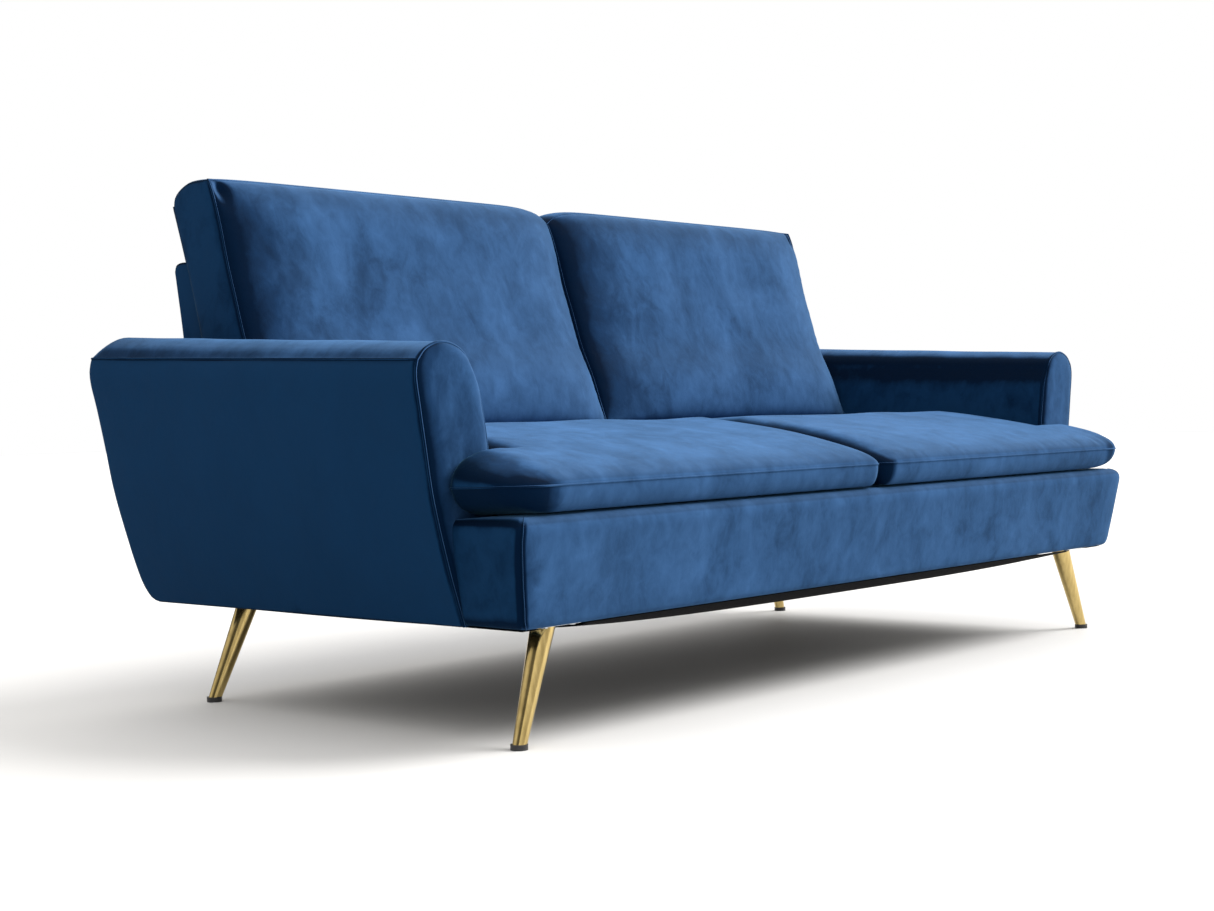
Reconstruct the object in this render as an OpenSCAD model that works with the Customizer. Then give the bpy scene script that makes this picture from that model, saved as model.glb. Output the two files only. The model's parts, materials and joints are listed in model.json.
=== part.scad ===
// Two-seat-cushion sofa with splayed arms, an upholstered base box and four tapered metal legs.
// Millimetres. +X is to the right as seen by someone facing the sofa, the front faces -Y, +Z is up.
// The origin is on the floor under the middle of the whole sofa. Left means the -X side.

/* [Overall] */
// Width across the top seams of the two arms
sofa_w = 1900; // [1900:10:2000]
// Height of the upholstered base above the floor
leg_h = 170; // [150:5:190]
// Distance from the middle to the front of the seat cushions, and to the back of the arms
half_depth = 461; // [455:1:465]
// Outward splay of the sofa's sides from vertical, in degrees
side_splay = 11.6; // [10:0.2:11.6]

/* [Base] */
// Front face of the base box at its bottom edge
apron_front_low = 431; // [428:1:434]
// Front face of the base box at its top edge
apron_front_high = 451; // [446:1:454]
// Height of the base box's top edge above the floor
apron_top = 328; // [324:1:328]
// Thickness of the hardwood rails
rail_t = 25; // [20:1:28]
// Slope of the seat deck down to the back, in degrees
deck_pitch = 3; // [2.6:0.1:3.2]

/* [Arms] */
// Height of the arm's crest at its front
arm_crest = 566; // [556:1:576]
// Rise of the crest from front to back, in degrees
arm_rise = 2.9; // [2:0.1:3.2]
// Inner face of the arm at seat height, from the middle
arm_inner = 808; // [806:1:812]
// Thickness of the outer side panel's padding at its edges
panel_t = 14; // [10:1:16]
// How far the outer side panel swells beyond a flat panel
panel_bulge = 16; // [10:1:18]

/* [Cushions] */
// Gap between the left and the right cushion of a pair
cushion_gap = 3; // [2:1:8]
// Height of the seat cushion's crown
seat_crown = 453; // [445:1:455]
// Outer end of the seat cushion's ear, from the middle
ear_end = 893; // [880:1:900]
// Thickness of a cushion's fabric cover and wadding
cover_t = 8; // [5:1:12]

/* [Back] */
// Top of the back frame above the floor
back_top = 731; // [715:1:745]
// Half width of the back frame
back_half = 795; // [791:1:796]

/* [Webbing] */
// Width of an elastic strap
strap_w = 60; // [50:5:60]
// Number of straps that run from front to back
strap_rows = 10; // [8:1:10]
// Number of straps that run from side to side
cross_rows = 5; // [4:1:5]

/* [Legs] */
// Radius of a leg at the top
leg_r_top = 18; // [15:0.5:20]
// Radius of a leg just above its glide
leg_r_foot = 10.5; // [9:0.5:12]
// Radius of a glide
glide_r = 12.5; // [12:0.5:15]
// Height of a glide
glide_h = 8; // [6:1:10]

/* [Hidden] */
$fn = 48;
VELVET = "#23508a";
FOAM = "#e8dfae";
WOOD = "#c8a06a";
BRASS = "#c8a04c";
BLACK = "#17171a";
STEEL = "#9aa0a6";
STRAP = "#2c2c30";

half_w = sofa_w / 2;
seam_z = 547;                                  // height of the arm's top seam at its front
splay = tan(side_splay);
side_low = half_w - splay * (seam_z - leg_h);  // outer face at the sofa's underside
far = 1200;                                    // longer than anything on the sofa

// deck and cushion planes, which slope down to the back
slope = tan(deck_pitch);
box_rear = -313;                               // back of the base box
inner_rail_y = [-350, -325];
box_z = 300;                                   // top of the rails inside the base box
strap_t = 2;
strap_span = 740;                              // outermost lengthways straps, from the middle
cross_y = [-270, 230];                         // front edges of the first and the last cross strap
deck_t = 21;
function strap_z(y) = box_z - slope * (y - inner_rail_y[1]);
function deck_z(y) = strap_z(y) + strap_t + deck_t;
function seat_z(y) = deck_z(y) + rest_gap;          // underside of the seat cushions

mount_z = leg_h + 2;                           // underside of the leg mount boards
rail_z = mount_z + 20;                         // underside of the rails, on the leg boards
mount_inner = [718, 680];                      // inner ends of the front and rear mount boards
mount_rear_y = 280;                            // front edge of the rear mount boards
side_rail_x = [797, 822];
rear_rail_y = [355, 380];
rear_rail_top = floor(strap_z(rear_rail_y[1]));
front_cavity = [850, 424];                     // half width and depth of the base box's hollow

// back: front face leans with the cushions, rear face bends at arm height
back_lean = 0.28;
function back_y(z) = 352 + back_lean * (z - 602);
back_pad_t = 20;
back_skin = 8;
back_side_skin = 5;
back_inner_half = back_half - back_side_skin;
deck_rear = 258;                               // the deck ends under the back pad
rear_line = [[396, leg_h], [400, 480], [414, 604], [433, back_top - 14]];
post_half = 15;                                // half width of a back post and the centre rail

// legs: where each foot stands, and how far its axis moves per millimetre of height
feet = [[841, -386], [803, 348]];              // front and rear, on the right side
leans = [[-0.4, 0.066], [-0.4, -0.103]];
plate_t = 3;
plate_half = 38;
screw_offset = 29;
screw_r = 2.5;
screw_l = 19;
screw_head = [5, 2];                           // radius and height
stud_r = 4.9;
stud_l = 16;
boss_r = 10;                                   // threaded boss on a leg plate, around the stud
boss_h = 15;

// loose cushions
seat_rear = 258;
ear_rear = box_rear;
body_end = arm_inner - 5;
rest_gap = 1.2;                                // air under a loose cushion

// ---------- shared shapes ----------

function arc(c, r, a0, a1, n = 6) =
    [for (i = [0:n]) let (a = a0 + (a1 - a0) * i / n) [c[0] + r * cos(a), c[1] + r * sin(a)]];

// an outline in Y and Z, extruded from x0 to x1
module along_x(x0, x1, outline) {
    translate([x0, 0, 0]) rotate([90, 0, 90]) linear_extrude(x1 - x0) polygon(outline);
}

// an outline in X and Z, extruded from y0 to y1
module along_y(y0, y1, outline) {
    translate([0, y1, 0]) rotate([90, 0, 0]) linear_extrude(y1 - y0) polygon(outline);
}

module block(x, y, z) {
    translate([x[0], y[0], z[0]]) cube([x[1] - x[0], y[1] - y[0], z[1] - z[0]]);
}

// right half pieces are drawn once; side is 1 for the right one and -1 for the left one
module on_side(side) {
    if (side < 0) mirror([1, 0, 0]) children();
    else children();
}

// everything that is drawn upright and must lean with the sofa's side; -X is inwards
module leaning() {
    translate([side_low, 0, leg_h]) rotate([0, side_splay, 0]) children();
}

// ---------- base ----------

apron_outline = concat(
    [[box_rear, leg_h], [-apron_front_low + 12, leg_h]],
    arc([-apron_front_low + 12, leg_h + 12], 12, 270, 188, 4),
    arc([-apron_front_high + 14, apron_top - 14], 14, 172, 92, 4),
    [[box_rear - 6, apron_top - 7], [box_rear, apron_top - 12]]);
apron_side = [
    [-side_low, leg_h], [side_low, leg_h],
    [side_low + 17, apron_top - 13], [side_low + 7, apron_top],
    [-side_low - 7, apron_top], [-side_low - 17, apron_top - 13]];

module apron_cover() {
    color(VELVET) difference() {
        intersection() {
            along_x(-far, far, apron_outline);
            along_y(-far, 0, apron_side);
        }
        block([-front_cavity[0], front_cavity[0]], [-front_cavity[1], inner_rail_y[1]],
              [leg_h - 1, box_z + 4]);
        block([-side_rail_x[1] - 2, side_rail_x[1] + 2], [inner_rail_y[1] - 1, box_rear + 1],
              [leg_h - 1, box_z + 4]);
    }
}

module front_rail() {
    color(WOOD) block([-front_cavity[0], front_cavity[0]],
                      [-front_cavity[1], -front_cavity[1] + rail_t], [rail_z, box_z]);
}

module front_inner_rail() {
    color(WOOD) block([-front_cavity[0], front_cavity[0]], inner_rail_y, [rail_z, box_z]);
}

module apron_end_boards() {
    color(WOOD) for (s = [0, 1]) mirror([s, 0, 0])
        block([front_cavity[0] - rail_t, front_cavity[0]],
              [-front_cavity[1] + rail_t, inner_rail_y[0]], [rail_z, box_z]);
}

// the rail's top follows the webbing, one cross strap below it
module side_rail(side) {
    y0 = inner_rail_y[1];
    y1 = rear_rail_y[0];
    color(WOOD) on_side(side) difference() {
        along_x(side_rail_x[0], side_rail_x[1],
                [[y0, rail_z], [y1, rail_z], [y1, strap_z(y1) - 2 * strap_t - 1],
                 [y0, strap_z(y0) - 2 * strap_t - 1]]);
        arm_bolt_holes();
    }
}
module side_rail_left() { side_rail(-1); }
module side_rail_right() { side_rail(1); }

module rear_rail() {
    color(WOOD) difference() {
        block([-side_rail_x[1], side_rail_x[1]], rear_rail_y, [rail_z, rear_rail_top]);
        dowels();
    }
}

centre_rail_top = 250;
module centre_rail() {
    color(WOOD) block([-post_half, post_half], [inner_rail_y[1], rear_rail_y[0]],
                      [rail_z, centre_rail_top]);
}

// four plywood boards under the rails' corners, one over each leg
module leg_mount_boards() {
    color(WOOD) for (s = [0, 1]) mirror([s, 0, 0]) difference() {
        union() {
            block([mount_inner[0], front_cavity[0]], [-front_cavity[1], inner_rail_y[1]],
                  [mount_z, rail_z]);
            block([mount_inner[1], side_rail_x[1]], [mount_rear_y, rear_rail_y[1]],
                  [mount_z, rail_z]);
        }
        for (i = [0, 1]) leg_plate_place(i) {
            cylinder(h = 3 * rail_t, r = boss_r + 7, center = true);
            plate_screw_shafts(screw_r, 2 * screw_l);
        }
    }
}

// ---------- springing and deck ----------

module seat_webbing() {
    pitch = 2 * strap_span / (strap_rows - 1);
    y0 = inner_rail_y[0] + 3;
    y1 = rear_rail_y[1] - 3;
    color(STRAP) for (i = [0:strap_rows - 1])
        along_x(-strap_span + i * pitch - strap_w / 2, -strap_span + i * pitch + strap_w / 2,
                [[y0, strap_z(y0) + 0.2], [y1, strap_z(y1) + 0.2],
                 [y1, strap_z(y1) + strap_t], [y0, strap_z(y0) + strap_t]]);
}

module cross_webbing() {
    pitch = (cross_y[1] - cross_y[0]) / (cross_rows - 1);
    color(STRAP) for (i = [0:cross_rows - 1]) let (y = cross_y[0] + i * pitch)
        along_x(-side_rail_x[1] + 2, side_rail_x[1] - 2,
                [[y, strap_z(y) - strap_t - 0.5], [y + strap_w, strap_z(y + strap_w) - strap_t - 0.5],
                 [y + strap_w, strap_z(y + strap_w) - 0.5], [y, strap_z(y) - 0.5]]);
}

module seat_deck_pad() {
    y0 = box_rear + 0.5;
    color(BLACK) along_x(-side_rail_x[0], side_rail_x[0],
        [[y0, strap_z(y0) + strap_t + 0.3], [deck_rear, strap_z(deck_rear) + strap_t + 0.3],
         [deck_rear, deck_z(deck_rear)], [y0, deck_z(y0)]]);
}

// thin black cloth stapled under the whole base, open around each leg plate
dust_half = 862;
dust_y = [-418, 390];
dust_hole = 2 * plate_half + 6;
module dust_cover() {
    color(BLACK) difference() {
        block([-dust_half, dust_half], dust_y, [leg_h - 1.5, leg_h - 0.1]);
        for (s = [0, 1], i = [0, 1]) mirror([s, 0, 0]) leg_plate_place(i)
            cube([dust_hole, dust_hole, dust_hole], center = true);
    }
}

// ---------- arms ----------

// side view: the front edge is upright, the rear edge leans back and rounds over at the crest
arm_front = box_rear + 1;
arm_outline = concat(
    [[arm_front, leg_h]],
    arc([392, leg_h + 28], 28, 270, 352, 5),
    [[half_depth - 29, 393], [half_depth - 13, 500]],
    arc([half_depth - 44, 566], 44, 0, 88, 6),
    [[arm_front, arm_crest + 60]]);

// front view: rounded outer edge, broad round to the inside, then down to the seat
arm_section = concat(
    [[side_low + 110, leg_h - 60], [half_w + 12, arm_crest - 40]],
    arc([half_w - 29, arm_crest - 40], 40, 10, 90, 5),
    arc([893, arm_crest - 58], 58, 90, 170, 7),
    [[arm_inner + 12, 470], [arm_inner + 4, 421], [arm_inner, 330], [arm_inner - 2, leg_h - 60]]);
// the outer side panel swells between the underside and the top seam
function side_x(t) = side_low + (half_w - side_low) * t + panel_bulge * sin(180 * t);
arm_side_cut = concat(
    [for (i = [0:8]) [side_x(i / 8), leg_h + (seam_z - leg_h) * i / 8]],
    [[half_w + splay * (far - seam_z), far], [arm_inner - 4, far],
     [arm_inner - 4, 304], [side_rail_x[1] + 2, 304], [side_rail_x[1] + 2, leg_h]]);

module arm_body() {
    intersection() {
        along_x(700, far, arm_outline);
        along_y(-far, far, arm_side_cut);
        translate([0, arm_front, arm_crest]) rotate([arm_rise, 0, 0])
            translate([0, -arm_front, -arm_crest]) along_y(-far, far, arm_section);
    }
}

facing_t = 29;                                 // depth of the facing behind the arm's front
module outer_slab() { leaning() block([-panel_t, 80], [-far, far], [-80, 700]); }
module top_slab() { translate([0, arm_front, seam_z]) rotate([arm_rise - 0.6, 0, 0])
    block([700, far], [-far, far], [0, 400]); }
module front_slab() { block([700, far], [-far, arm_front + facing_t], [0, far]); }

// a board frame inside the arm: its outside and its opening, in the leaning frame
arm_board_x = [-47, -16];
arm_board_y = [-281, 400];
arm_board_z = [14, 330];
arm_open_y = [-221, 345];
arm_open_z = [84, 270];
module arm_boards() {
    leaning() {
        block(arm_board_x, [arm_board_y[0], arm_open_y[0]], arm_board_z);
        block(arm_board_x, [arm_open_y[1], arm_board_y[1]], arm_board_z);
        block(arm_board_x, arm_open_y, [arm_open_z[1], arm_board_z[1]]);
        block(arm_board_x, arm_open_y, [arm_board_z[0], arm_open_z[0]]);
    }
}

// the bolts that hold an arm to its side rail
bolt_y = [-180, 0, 180, 300];
bolt_z = 232;
bolt_r = 4;
bolt_l = 56;
bolt_head = [9, 4];                            // radius and height
module arm_bolt_holes() {
    for (y = bolt_y) translate([side_rail_x[0] - 17, y, bolt_z])
        rotate([0, 90, 0]) cylinder(h = bolt_l + 19, r = bolt_r);
}

module arm_frame(side) {
    color(WOOD) on_side(side) difference() {
        arm_boards();
        arm_bolt_holes();
    }
}
module arm_outer_panel(side) {
    color(VELVET) on_side(side) difference() {
        intersection() {
            arm_body();
            outer_slab();
        }
        top_slab();
    }
}
module arm_front_facing(side) {
    color(VELVET) on_side(side) difference() {
        intersection() {
            arm_body();
            front_slab();
        }
        difference() {
            outer_slab();
            top_slab();
        }
    }
}
module arm_wrap(side) {
    color(VELVET) on_side(side) difference() {
        arm_body();
        difference() {
            outer_slab();
            top_slab();
        }
        front_slab();
        arm_boards();
        arm_bolt_holes();
    }
}
module arm_frame_left() { arm_frame(-1); }
module arm_frame_right() { arm_frame(1); }
module arm_outer_panel_left() { arm_outer_panel(-1); }
module arm_outer_panel_right() { arm_outer_panel(1); }
module arm_front_facing_left() { arm_front_facing(-1); }
module arm_front_facing_right() { arm_front_facing(1); }
module arm_wrap_left() { arm_wrap(-1); }
module arm_wrap_right() { arm_wrap(1); }

// bolts from inside the side rails into the arm frames
module arm_bolts() {
    color(STEEL) for (s = [0, 1], y = bolt_y) mirror([s, 0, 0])
        translate([0, y, bolt_z]) rotate([0, 90, 0]) {
            translate([0, 0, side_rail_x[0] - bolt_head[1]]) cylinder(h = bolt_head[1], r = bolt_head[0]);
            translate([0, 0, side_rail_x[0]]) cylinder(h = bolt_l, r = bolt_r);
        }
}

// ---------- back ----------

post_foot = rear_rail_top + 9.5;                // the posts stand on the straps over the rear rail
post_top = back_top - 12;
post_x = 775;
board_t = 22;                                  // thickness of the two rails across the back
top_rail_low = post_top - 38;
lower_rail_z = [post_foot, 330];
// rear face of the outside skin above arm height
function rear_y(z) = rear_line[2][0] + (z - rear_line[2][1])
    * (rear_line[3][0] - rear_line[2][0]) / (rear_line[3][1] - rear_line[2][1]);
function pad_rear(z) = back_y(z) + back_pad_t;

// side view of a post: behind the lower rail, then between pad and skin, under the top rail
post_outline = [
    [pad_rear(lower_rail_z[0]) + board_t, lower_rail_z[0]],
    [pad_rear(lower_rail_z[1]) + board_t, lower_rail_z[1]],
    [pad_rear(lower_rail_z[1]), lower_rail_z[1]],
    [pad_rear(top_rail_low), top_rail_low],
    [rear_y(top_rail_low) - back_skin, top_rail_low],
    [rear_line[2][0] - back_skin, rear_line[2][1]],
    [rear_line[1][0] - back_skin, rear_line[1][1]],
    [rear_line[0][0] - back_skin, post_foot]];

module back_post(x) {
    color(WOOD) difference() {
        along_x(x - post_half, x + post_half, post_outline);
        dowels();
    }
}
module back_post_left() { back_post(-post_x); }
module back_post_middle() { back_post(0); }
module back_post_right() { back_post(post_x); }

module back_top_rail() {
    color(WOOD) along_x(-back_inner_half, back_inner_half,
        [[pad_rear(top_rail_low), top_rail_low],
         [rear_y(top_rail_low) - back_skin - 0.1, top_rail_low],
         [rear_y(post_top) - back_skin - 0.1, post_top], [pad_rear(post_top), post_top]]);
}
module back_lower_rail() {
    color(WOOD) along_x(-back_inner_half, back_inner_half,
        [for (z = lower_rail_z) [pad_rear(z), z],
         for (z = [lower_rail_z[1], lower_rail_z[0]]) [pad_rear(z) + board_t, z]]);
}

// elastic straps across the back, behind the pad, between the posts
back_strap_w = 50;
back_strap_z = [365, 450, 535, 620];
module back_webbing() {
    x0 = post_half + 0.5;
    y0 = back_pad_t + 0.3;
    color(STRAP) for (s = [0, 1]) mirror([s, 0, 0])
        for (z = back_strap_z) let (top = z + back_strap_w)
            along_x(x0, post_x - x0, [
                [back_y(z) + y0, z], [back_y(z) + y0 + strap_t, z],
                [back_y(top) + y0 + strap_t, top], [back_y(top) + y0, top]]);
}

// foam and fabric on the face that the loose cushions lean on
module back_pad() {
    z0 = deck_z(deck_rear) + 1;
    z1 = post_top;
    color(VELVET) along_x(-back_inner_half, back_inner_half,
        [[back_y(z0), z0], [back_y(z0) + back_pad_t, z0],
         [back_y(z1) + back_pad_t, z1], [back_y(z1), z1]]);
}

// outside back: rear skin down to the underside, rolled over the top and down both ends
module back_cover() {
    front = back_y(back_top - 8);
    hollow_front = back_y(post_foot) - 200;
    color(VELVET) difference() {
        along_x(-back_half, back_half, [
            [back_y(post_foot), post_foot], [front, back_top - 8], [front + 10, back_top],
            [rear_line[3][0] - 12, back_top], rear_line[3], rear_line[2], rear_line[1],
            rear_line[0], [rear_line[0][0] - back_skin, leg_h],
            [rear_line[0][0] - back_skin, post_foot]]);
        along_x(-back_inner_half, back_inner_half, [
            [hollow_front, post_foot - 300], [hollow_front, post_top],
            [rear_y(post_top) - back_skin, post_top],
            for (i = [2, 1, 0]) [rear_line[i][0] - back_skin, rear_line[i][1]],
            [rear_line[0][0] - back_skin, post_foot - 300]]);
    }
}

// dowels that tie the posts to the rear rail, between the straps
dowel_x = [-778, 0, 778];
dowel_r = 5;
dowel_l = 90;
dowel_depth = 40;                              // how far a dowel goes into the rear rail
module dowels() {
    for (x = dowel_x)
        translate([x, (rear_rail_y[0] + rear_rail_y[1]) / 2, rear_rail_top - dowel_depth])
            cylinder(h = dowel_l, r = dowel_r);
}
module back_dowels() {
    color(WOOD) dowels();
}

// ---------- legs ----------

// the frame of one leg plate, flat under its mount board and centred on the leg's axis
module leg_plate_place(i) {
    translate([feet[i][0] + leans[i][0] * leg_h, feet[i][1] + leans[i][1] * leg_h, leg_h + 2])
        children();
}
// the frame of one leg's own axis, with its origin on the floor
module leg_axis(i) {
    lean = leans[i];
    translate([feet[i][0], feet[i][1], 0]) rotate([0, 0, atan2(lean[1], lean[0])])
        rotate([0, atan(norm(lean)), 0]) children();
}
module plate_screw_shafts(r, h) {
    for (a = [-1, 1], b = [-1, 1]) translate([a * screw_offset, b * screw_offset, 0])
        cylinder(h = h, r = r, center = true);
}
// radius of a leg at a height, on its taper from the glide to the plate
function leg_r(z) = leg_r_foot + (leg_r_top - leg_r_foot) * (z - glide_h) / (leg_h - glide_h);
function leg_length(i) = leg_h * norm([leans[i][0], leans[i][1], 1]);

module leg_plate(i, side) {
    color(STEEL) on_side(side) difference() {
        union() {
            leg_plate_place(i) translate([-plate_half, -plate_half, -plate_t])
                cube([2 * plate_half, 2 * plate_half, plate_t]);
            intersection() {
                leg_axis(i) cylinder(h = leg_length(i) + boss_h + plate_t, r = boss_r);
                leg_plate_place(i) translate([-plate_half, -plate_half, -plate_t])
                    cube([2 * plate_half, 2 * plate_half, plate_t + boss_h]);
            }
        }
        leg_axis(i) cylinder(h = 3 * leg_h, r = stud_r + 0.1);
        leg_plate_place(i) plate_screw_shafts(screw_r + 0.3, screw_l);
    }
}
module leg(i, side) {
    color(BRASS) on_side(side) union() {
        intersection() {
            leg_axis(i) translate([0, 0, -20])
                cylinder(h = leg_length(i) + 60, r1 = leg_r(-20), r2 = leg_r(leg_h + 40));
            block([600, far], [-600, 600], [glide_h, leg_h - plate_t + 2]);
        }
        intersection() {
            leg_axis(i) cylinder(h = leg_length(i) + stud_l, r = stud_r);
            block([600, far], [-600, 600], [leg_h - 40, far]);
        }
    }
}
module glide(i, side) {
    color(BLACK) on_side(side)
        translate([feet[i][0] + leans[i][0] * glide_h / 2, feet[i][1] + leans[i][1] * glide_h / 2, 0])
            cylinder(h = glide_h, r = glide_r);
}
module leg_plate_screws() {
    color(STEEL) for (s = [0, 1], i = [0, 1]) mirror([s, 0, 0]) leg_plate_place(i) {
        for (a = [-1, 1], b = [-1, 1]) translate([a * screw_offset, b * screw_offset, 0]) {
            translate([0, 0, -plate_t - screw_head[1]]) cylinder(h = screw_head[1], r = screw_head[0]);
            translate([0, 0, -plate_t]) cylinder(h = screw_l, r = screw_r);
        }
    }
}
module leg_plate_front_left() { leg_plate(0, -1); }
module leg_plate_front_right() { leg_plate(0, 1); }
module leg_plate_rear_left() { leg_plate(1, -1); }
module leg_plate_rear_right() { leg_plate(1, 1); }
module leg_front_left() { leg(0, -1); }
module leg_front_right() { leg(0, 1); }
module leg_rear_left() { leg(1, -1); }
module leg_rear_right() { leg(1, 1); }
module glide_front_left() { glide(0, -1); }
module glide_front_right() { glide(0, 1); }
module glide_rear_left() { glide(1, -1); }
module glide_rear_right() { glide(1, 1); }

// ---------- loose cushions ----------

core_gap = 0.5;                                // between a cushion's core and its cover
// side view of a seat cushion, shrunk by t all round; its top and underside follow the deck
function seat_outline(t) = [
    [-half_depth + 20 + t, seat_z(-half_depth + 20) + t], [-half_depth + 4 + t, 350],
    [-half_depth + t, 368], [-half_depth + 9 + t, 388 - t / 2], [-420 + t, 410 - t],
    [-360, 428 - t], [-250, 444 - t], [-100, seat_crown - t],
    [seat_rear - t, seat_crown - slope * (seat_rear + 100) - t],
    [seat_rear - t, seat_z(seat_rear) + t]];

module seat_cushion_body(t) {
    intersection() {
        along_x(cushion_gap / 2 + t, ear_end - t, seat_outline(t));
        union() {
            block([0, body_end - t], [-far, far], [0, far]);
            block([0, far], [-far, ear_rear - t], [0, far]);
        }
    }
}

// side view of a back cushion: its front face leans more towards the top
back_rear_gap = 3;
function rest_z(y) = seat_crown - slope * (y + 100) + rest_gap;
function cushion_rear(z) = back_y(z) - back_rear_gap;
function back_outline(t) = [
    [162 + t, rest_z(162) + t], [205 + t, 560], [245 + t, 680], [290 + t, 790],
    [320 + t, 846 - t], [346, 864 - t], [388, 852 - t], [cushion_rear(826) - t, 826 - t],
    [cushion_rear(rest_z(290)) - t, rest_z(290) + t]];

module back_cushion_body(t) {
    along_x(cushion_gap / 2 + t, arm_inner + 1 - t, back_outline(t));
}

module seat_cushion_cover(side) {
    color(VELVET) on_side(side) difference() {
        seat_cushion_body(0);
        seat_cushion_body(cover_t);
    }
}
module seat_cushion_core(side) {
    color(FOAM) on_side(side) seat_cushion_body(cover_t + core_gap);
}
module back_cushion_cover(side) {
    color(VELVET) on_side(side) difference() {
        back_cushion_body(0);
        back_cushion_body(cover_t);
    }
}
module back_cushion_core(side) {
    color(FOAM) on_side(side) back_cushion_body(cover_t + core_gap);
}
module seat_cushion_cover_left() { seat_cushion_cover(-1); }
module seat_cushion_cover_right() { seat_cushion_cover(1); }
module seat_cushion_core_left() { seat_cushion_core(-1); }
module seat_cushion_core_right() { seat_cushion_core(1); }
module back_cushion_cover_left() { back_cushion_cover(-1); }
module back_cushion_cover_right() { back_cushion_cover(1); }
module back_cushion_core_left() { back_cushion_core(-1); }
module back_cushion_core_right() { back_cushion_core(1); }

// ---------- nodes ----------

apron_cover();
front_rail();
front_inner_rail();
apron_end_boards();
side_rail_left();
side_rail_right();
rear_rail();
centre_rail();
leg_mount_boards();
seat_webbing();
cross_webbing();
seat_deck_pad();
dust_cover();
arm_frame_left();
arm_outer_panel_left();
arm_front_facing_left();
arm_wrap_left();
arm_frame_right();
arm_outer_panel_right();
arm_front_facing_right();
arm_wrap_right();
arm_bolts();
back_post_left();
back_post_middle();
back_post_right();
back_top_rail();
back_lower_rail();
back_webbing();
back_pad();
back_cover();
back_dowels();
leg_plate_front_left();
leg_plate_front_right();
leg_plate_rear_left();
leg_plate_rear_right();
leg_plate_screws();
leg_front_left();
leg_front_right();
leg_rear_left();
leg_rear_right();
glide_front_left();
glide_front_right();
glide_rear_left();
glide_rear_right();
seat_cushion_cover_left();
seat_cushion_core_left();
seat_cushion_cover_right();
seat_cushion_core_right();
back_cushion_cover_left();
back_cushion_core_left();
back_cushion_cover_right();
back_cushion_core_right();
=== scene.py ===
import json
import math

import bpy
import numpy as np
from mathutils import Matrix, Vector, noise


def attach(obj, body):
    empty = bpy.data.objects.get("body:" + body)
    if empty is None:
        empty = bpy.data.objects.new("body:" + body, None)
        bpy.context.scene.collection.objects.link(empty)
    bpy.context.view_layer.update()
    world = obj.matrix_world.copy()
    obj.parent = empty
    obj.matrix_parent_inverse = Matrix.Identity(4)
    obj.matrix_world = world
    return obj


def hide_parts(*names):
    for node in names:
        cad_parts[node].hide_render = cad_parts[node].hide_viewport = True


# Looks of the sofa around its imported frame. Shapes are worked out in millimetres and become metres
# in make_mesh() and welt(). Every shape is drawn for the right half, +X, and mirrored for the left.

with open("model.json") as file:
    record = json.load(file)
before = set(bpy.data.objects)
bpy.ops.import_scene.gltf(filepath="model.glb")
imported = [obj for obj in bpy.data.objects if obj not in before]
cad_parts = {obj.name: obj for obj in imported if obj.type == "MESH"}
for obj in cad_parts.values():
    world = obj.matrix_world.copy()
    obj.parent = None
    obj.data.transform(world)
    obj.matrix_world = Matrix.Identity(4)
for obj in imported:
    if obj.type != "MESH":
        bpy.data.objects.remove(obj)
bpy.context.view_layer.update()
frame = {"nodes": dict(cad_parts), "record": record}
MM = 0.001
SIDES = {"left": -1, "right": 1}

LEG_H = 170                 # underside of the upholstered base
SPLAY = 0.205               # outward lean of the sofa's sides, per unit of height
DECK_SLOPE = math.tan(math.radians(3))
ARM_FRONT, ARM_REAR = -313, 457
ARM_H = 397                 # from the base's underside to an arm's crest at its front
CREST_SLOPE = 0.046         # rise of an arm's crest towards the rear
SEAM = 2.1                  # radius of a welt


# ---------- node trees ----------

def greys(*stops):
    """Grey stops for a ramp, from pairs of a place and a tone."""
    return [(place, (tone, tone, tone)) for place, tone in stops]


class Nodes:
    """A node tree, with short calls for the nodes that the light and the materials use."""

    def __init__(self, tree):
        self.tree = tree

    def add(self, kind, inputs=None, **settings):
        node = self.tree.nodes.new(f"ShaderNode{kind}")
        for name, value in settings.items():
            setattr(node, name, value)
        for socket, value in (inputs or {}).items():
            node.inputs[socket].default_value = value
        return node

    def link(self, source, target):
        self.tree.links.new(source, target)

    def math(self, operation, a, b):
        node = self.add("Math", operation=operation)
        for socket, value in zip(node.inputs, (a, b)):
            if isinstance(value, (int, float)):
                socket.default_value = value
            else:
                self.link(value, socket)
        return node.outputs[0]

    def ramp(self, fac, stops):
        node = self.add("ValToRGB")
        while len(node.color_ramp.elements) < len(stops):
            node.color_ramp.elements.new(1)
        for element, (place, colour) in zip(node.color_ramp.elements, stops):
            element.position = place
            element.color = (*colour, 1)
        self.link(fac, node.inputs["Fac"])
        return node.outputs["Color"]


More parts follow.
